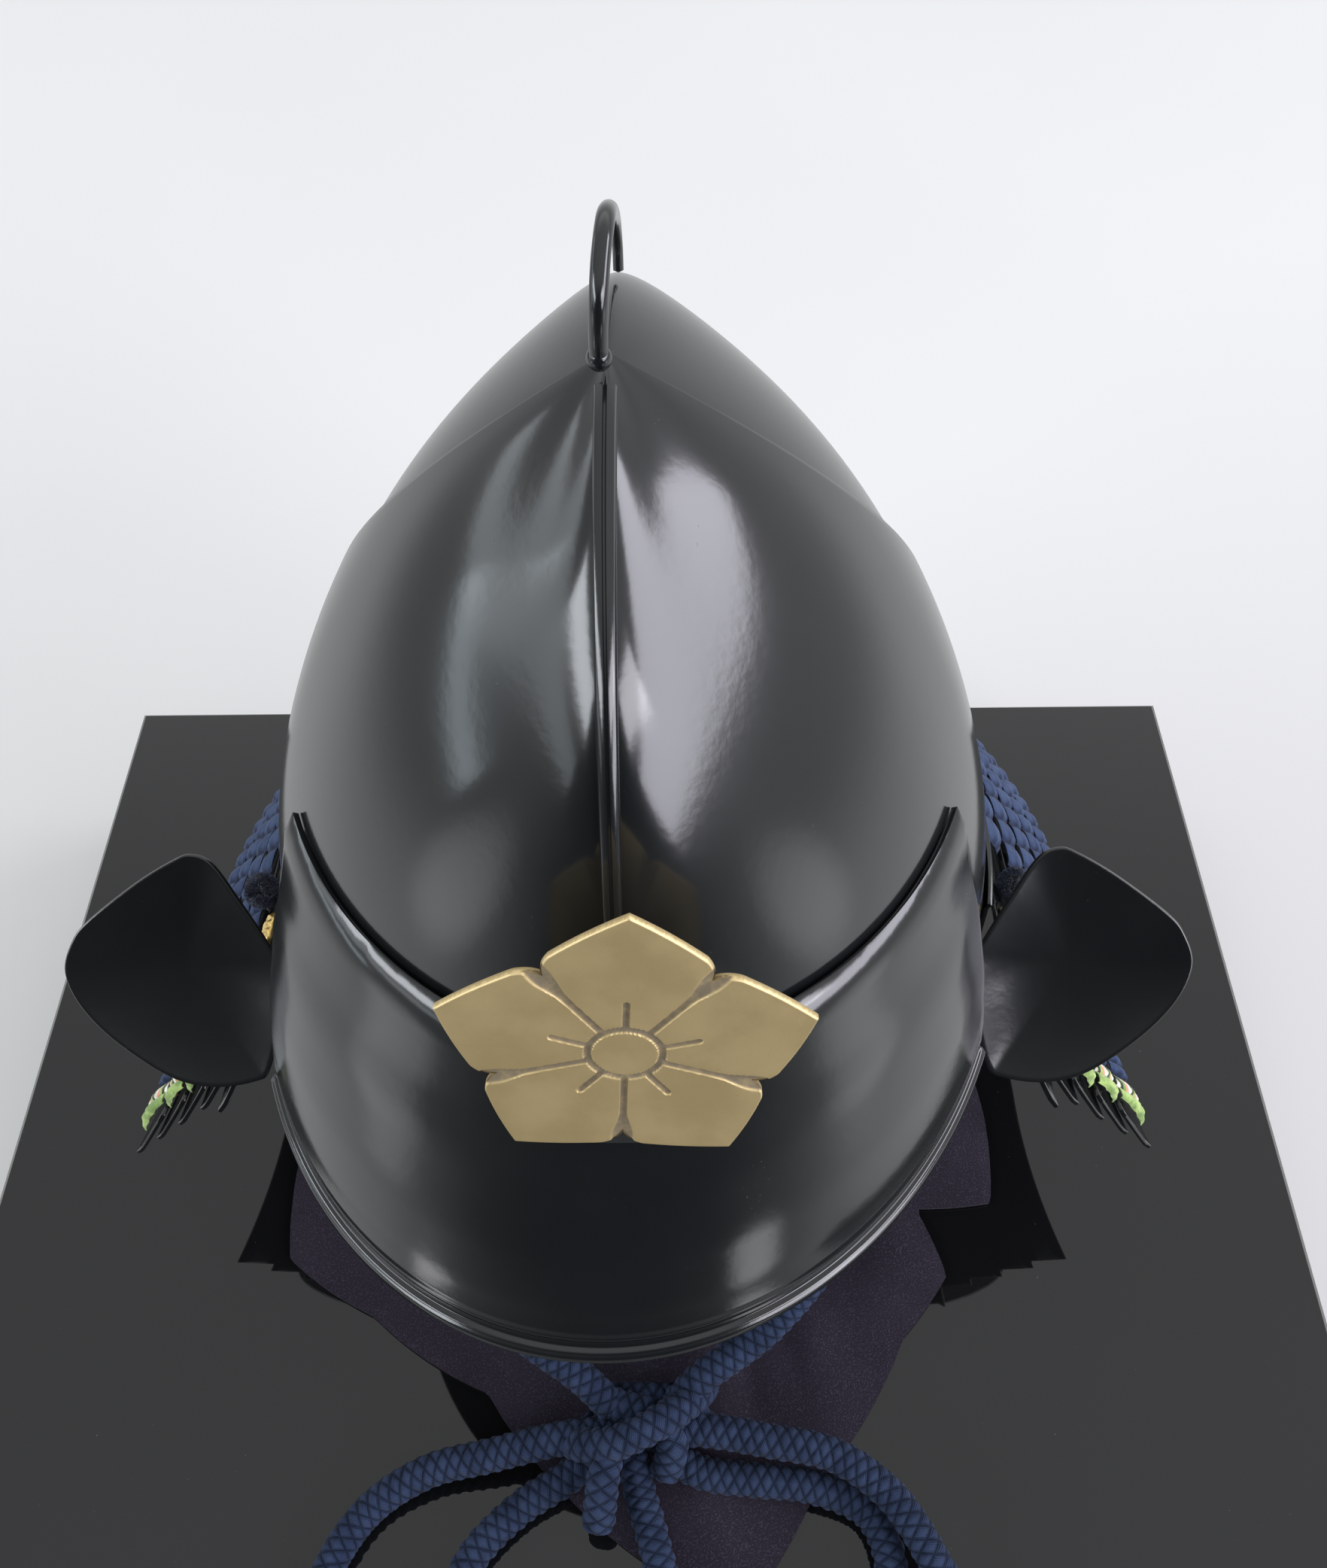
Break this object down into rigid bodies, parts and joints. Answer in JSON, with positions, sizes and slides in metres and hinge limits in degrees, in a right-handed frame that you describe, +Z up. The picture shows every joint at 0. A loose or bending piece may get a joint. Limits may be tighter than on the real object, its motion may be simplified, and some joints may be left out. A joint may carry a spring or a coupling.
{
  "type": "kabuto helmet on a stand and display box",
  "caption": "Black lacquered samurai helmet with a gold bellflower crest, laced neck guard and tied blue cord, on a purple cloth over its stand, on a black box.",
  "frame": {"origin": "middle of the display box's underside", "axes": "+Z up, the helmet faces -Y, +X along the box's long side, towards the wearer's left"},
  "size_m": [0.45, 0.4, 0.4051],
  "materials": {
    "lacquer": "semi_gloss",
    "gold": "matte",
    "gilt": "satin",
    "navy_braid": "matte",
    "edge_braid": "matte",
    "purple_cloth": "matte",
    "stand_wood": "satin",
    "box_lacquer": "gloss"
  },
  "bodies": {
    "root": {"bowl_front_plates": "lacquer", "bowl_rear_plates": "lacquer", "ridge_rib": "lacquer", "curled_stalk": "lacquer", "visor": "lacquer", "waist_band": "lacquer", "crest_socket": "lacquer", "turned_ear_left": "lacquer", "turned_ear_right": "lacquer", "neck_guard_plate_1": "lacquer", "neck_guard_plate_2": "lacquer", "neck_guard_plate_3": "lacquer", "neck_guard_plate_4": "lacquer", "neck_guard_plate_5": "lacquer", "crest": "gold", "gilt_fitting_left": "gilt", "gilt_fitting_right": "gilt", "blue_knob_left": "navy_braid", "blue_knob_right": "navy_braid", "chin_cord_left": "navy_braid", "chin_cord_right": "navy_braid", "bow_loop_left": "navy_braid", "bow_loop_right": "navy_braid", "tail_long": "navy_braid", "tail_short": "navy_braid", "chin_knot": "navy_braid", "lacing_row_1": "navy_braid", "lacing_row_2": "navy_braid", "lacing_row_3": "navy_braid", "lacing_row_4": "navy_braid", "lacing_row_5": "navy_braid", "edge_braid_left_2": "edge_braid", "edge_braid_left_3": "edge_braid", "edge_braid_left_4": "edge_braid", "edge_braid_left_5": "edge_braid", "edge_braid_right_2": "edge_braid", "edge_braid_right_3": "edge_braid", "edge_braid_right_4": "edge_braid", "edge_braid_right_5": "edge_braid", "stand_cloth": "purple_cloth", "stand_base": "stand_wood", "stand_post": "stand_wood", "stand_cap": "stand_wood", "display_box": "box_lacquer"}
  },
  "joints": []
}
